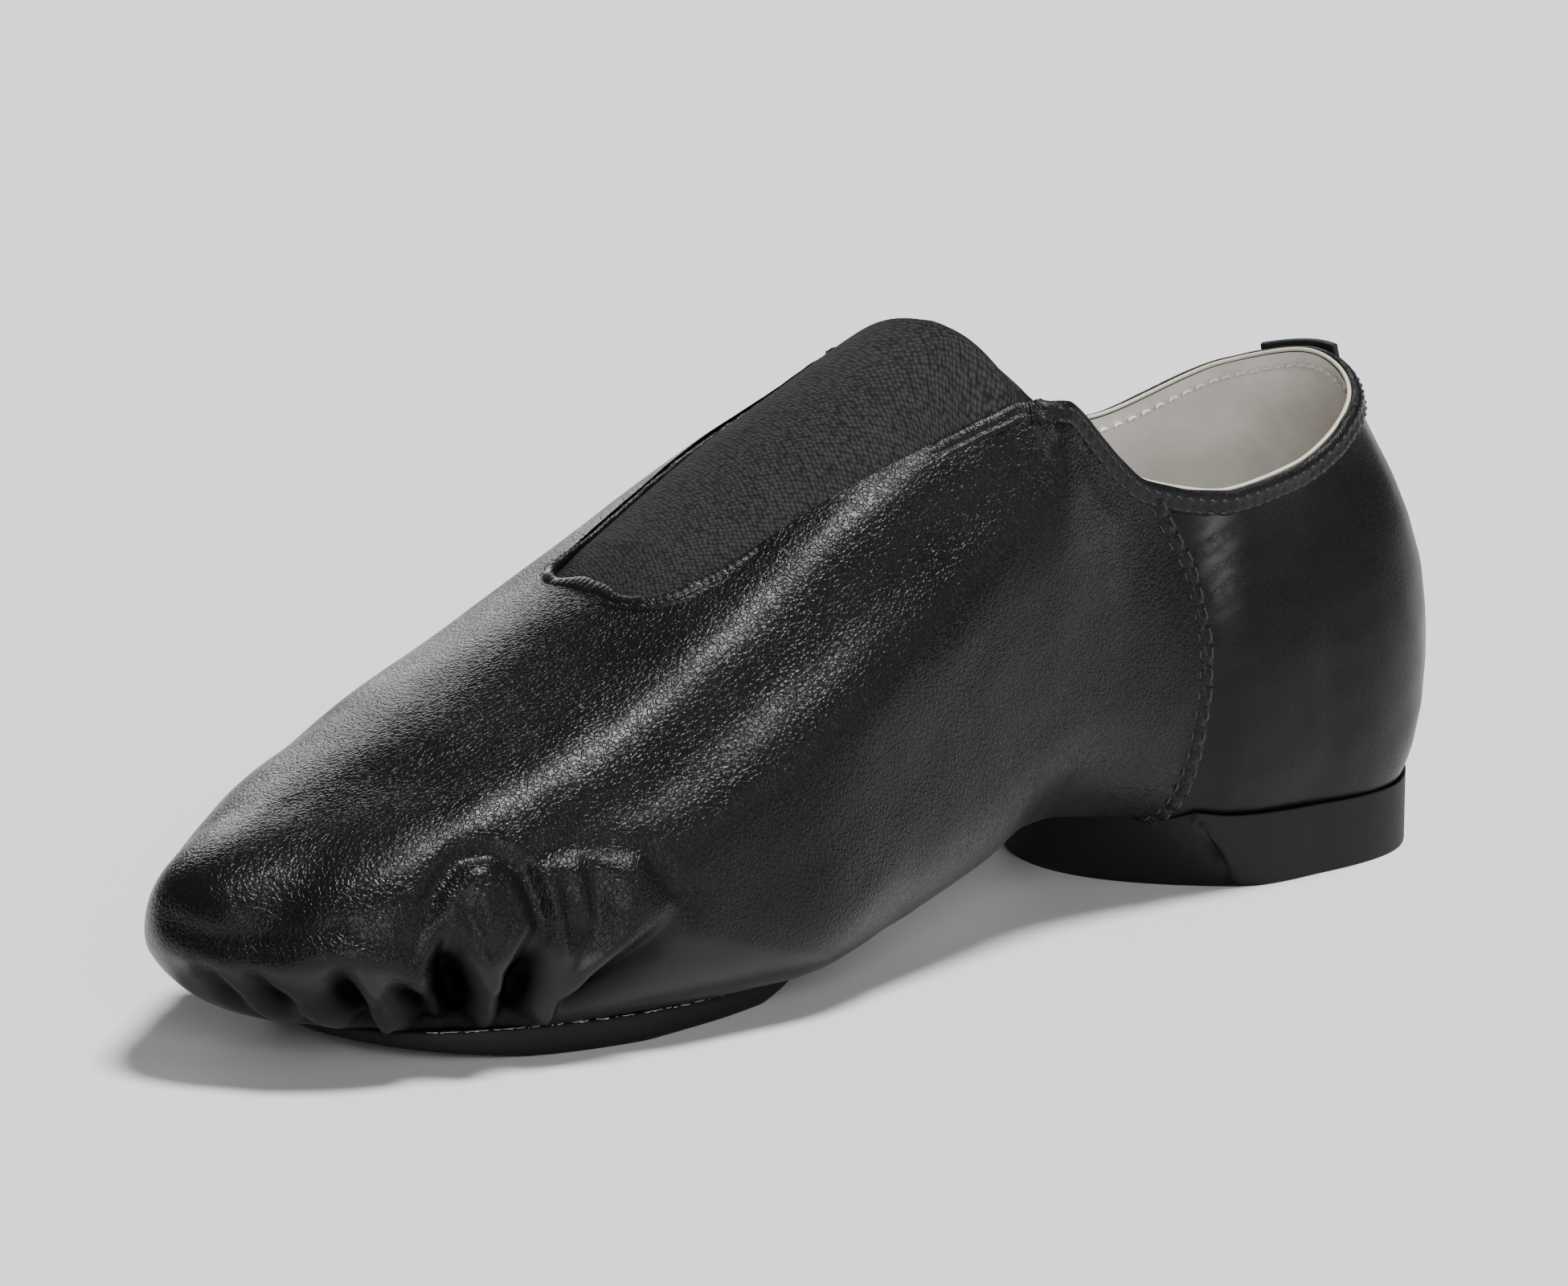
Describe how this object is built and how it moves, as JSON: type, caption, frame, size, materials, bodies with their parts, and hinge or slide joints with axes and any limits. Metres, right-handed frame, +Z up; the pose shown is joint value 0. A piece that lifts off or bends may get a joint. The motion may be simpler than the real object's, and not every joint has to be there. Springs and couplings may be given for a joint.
{
  "type": "jazz shoe",
  "caption": "Low slip-on dance shoe for the right foot: soft leather upper with an elastic panel over the instep, open collar, split rubber sole and low heel.",
  "frame": {"origin": "on the floor under the middle of the heel, on the heel's flat underside", "axes": "+X to the toe, +Y to the inner side of the foot, +Z up"},
  "size_m": [0.2417, 0.0853, 0.0905],
  "materials": {
    "leather": "satin black, fine pebbled grain",
    "elastic": "woven elastic with a fine diagonal rib",
    "insole": "matt padded board",
    "sole_rubber": "matt black",
    "tape": "black woven tape",
    "lining": "matt pale taupe lining with a cream edge",
    "thread": "sewing thread"
  },
  "bodies": {
    "root": {"upper": "leather", "gore": "elastic", "insole": "insole", "forefoot_sole": "sole_rubber", "heel": "sole_rubber", "back_tab": "tape"}
  },
  "joints": []
}
